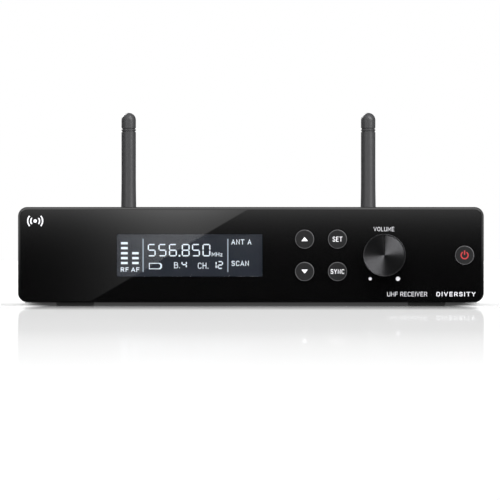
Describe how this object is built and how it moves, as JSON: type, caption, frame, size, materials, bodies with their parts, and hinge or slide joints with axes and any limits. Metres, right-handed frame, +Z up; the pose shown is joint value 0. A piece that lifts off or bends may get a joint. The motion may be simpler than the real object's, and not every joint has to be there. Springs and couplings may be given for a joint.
{
  "type": "wireless receiver unit",
  "caption": "Half-width rack receiver box with a gloss front panel, backlit display, round buttons, a spun volume knob and swivelling rod antennas.",
  "frame": {"origin": "middle of the object's bounding box, on the surface its feet stand on", "axes": "+X to the right as seen from the front, +Y from the front panel to the rear, +Z up"},
  "size_m": [0.2, 0.175, 0.086],
  "materials": {
    "gloss_black": "polished, back-printed black acrylic",
    "matt_black": "fine moulded texture",
    "rubber_black": "matt rubber",
    "case_black": "fine-textured powder coat on steel sheet",
    "smoked_window": "clear smoked acrylic",
    "display_glass": "polished glass over a negative display",
    "white_plastic": "satin light guide",
    "button_grey": "satin moulded plastic",
    "spun_metal": "dark anodised, circularly spun",
    "nickel": "bright nickel plate",
    "steel": "zinc-plated steel",
    "board_green": "solder-masked circuit board",
    "cable_grey": "flat cable",
    "capacitor_blue": "sleeved can"
  },
  "bodies": {
    "housing": {"bnc_nut_left": "nickel", "bnc_nut_right": "nickel", "bnc_socket_left": "nickel", "bnc_socket_right": "nickel", "case_screw_front_left": "steel", "case_screw_front_right": "steel", "case_screw_rear_left": "steel", "case_screw_rear_right": "steel", "chassis_tray": "case_black", "control_board": "board_green", "dc_inlet": "matt_black", "dc_inlet_pin": "nickel", "display_window": "smoked_window", "filter_capacitor": "capacitor_blue", "foot_front_left": "rubber_black", "foot_front_right": "rubber_black", "foot_rear_left": "rubber_black", "foot_rear_right": "rubber_black", "front_frame": "matt_black", "front_lens": "gloss_black", "jack_body": "matt_black", "jack_nut": "nickel", "lcd_backlight": "white_plastic", "lcd_panel": "display_glass", "main_board": "board_green", "rf_shield": "steel", "ribbon_cable": "cable_grey", "squelch_pot_body": "steel", "tact_switch_down": "matt_black", "tact_switch_power": "matt_black", "tact_switch_set": "matt_black", "tact_switch_sync": "matt_black", "tact_switch_up": "matt_black", "top_cover": "case_black", "voltage_regulator": "matt_black", "volume_pot_body": "steel", "volume_pot_nut": "nickel", "xlr_insert": "matt_black", "xlr_pin_1": "nickel", "xlr_pin_2": "nickel", "xlr_pin_3": "nickel", "xlr_screw_lower": "steel", "xlr_screw_upper": "steel", "xlr_shell": "matt_black"},
    "volume_control": {"volume_knob": "matt_black", "knob_face_disc": "spun_metal", "volume_shaft": "steel"},
    "up_button": {"button_up": "button_grey"},
    "down_button": {"button_down": "button_grey"},
    "set_button": {"button_set": "button_grey"},
    "sync_button": {"button_sync": "button_grey"},
    "power_button": {"button_power": "button_grey"},
    "squelch_control": {"squelch_shaft": "matt_black"},
    "left_antenna": {"antenna_rod_left": "rubber_black", "antenna_plug_left": "nickel"},
    "right_antenna": {"antenna_rod_right": "rubber_black", "antenna_plug_right": "nickel"},
    "left_collar": {"bnc_collar_left": "nickel"},
    "right_collar": {"bnc_collar_right": "nickel"}
  },
  "joints": [
    {"name": "volume_turn", "type": "hinge", "parent": "housing", "child": "volume_control", "pos_m": [0.0571, -0.0765, 0.0218], "axis": [0, 1, 0], "range_deg": [-150, 150]},
    {"name": "up_press", "type": "slide", "parent": "housing", "child": "up_button", "axis": [0, 1, 0], "range_m": [0, 0.0005], "stiffness_N_per_m": 1500, "springref_m": -0.0005},
    {"name": "down_press", "type": "slide", "parent": "housing", "child": "down_button", "axis": [0, 1, 0], "range_m": [0, 0.0005], "stiffness_N_per_m": 1500, "springref_m": -0.0005},
    {"name": "set_press", "type": "slide", "parent": "housing", "child": "set_button", "axis": [0, 1, 0], "range_m": [0, 0.0005], "stiffness_N_per_m": 1500, "springref_m": -0.0005},
    {"name": "sync_press", "type": "slide", "parent": "housing", "child": "sync_button", "axis": [0, 1, 0], "range_m": [0, 0.0005], "stiffness_N_per_m": 1500, "springref_m": -0.0005},
    {"name": "power_press", "type": "slide", "parent": "housing", "child": "power_button", "axis": [0, 1, 0], "range_m": [0, 0.0005], "stiffness_N_per_m": 1500, "springref_m": -0.0005},
    {"name": "squelch_turn", "type": "hinge", "parent": "housing", "child": "squelch_control", "pos_m": [0.027, 0.0575, 0.022], "axis": [0, -1, 0], "range_deg": [-140, 140]},
    {"name": "left_antenna_swivel", "type": "hinge", "parent": "housing", "child": "left_antenna", "pos_m": [-0.0552, 0.0815, 0.024], "axis": [0, -1, 0], "range_deg": [-45, 90]},
    {"name": "right_antenna_swivel", "type": "hinge", "parent": "housing", "child": "right_antenna", "pos_m": [0.053, 0.0815, 0.024], "axis": [0, 1, 0], "range_deg": [-45, 90]},
    {"name": "left_collar_turn", "type": "hinge", "parent": "housing", "child": "left_collar", "pos_m": [-0.0552, 0.066, 0.024], "axis": [0, -1, 0], "range_deg": [-90, 0]},
    {"name": "right_collar_turn", "type": "hinge", "parent": "housing", "child": "right_collar", "pos_m": [0.053, 0.066, 0.024], "axis": [0, -1, 0], "range_deg": [-90, 0]}
  ]
}
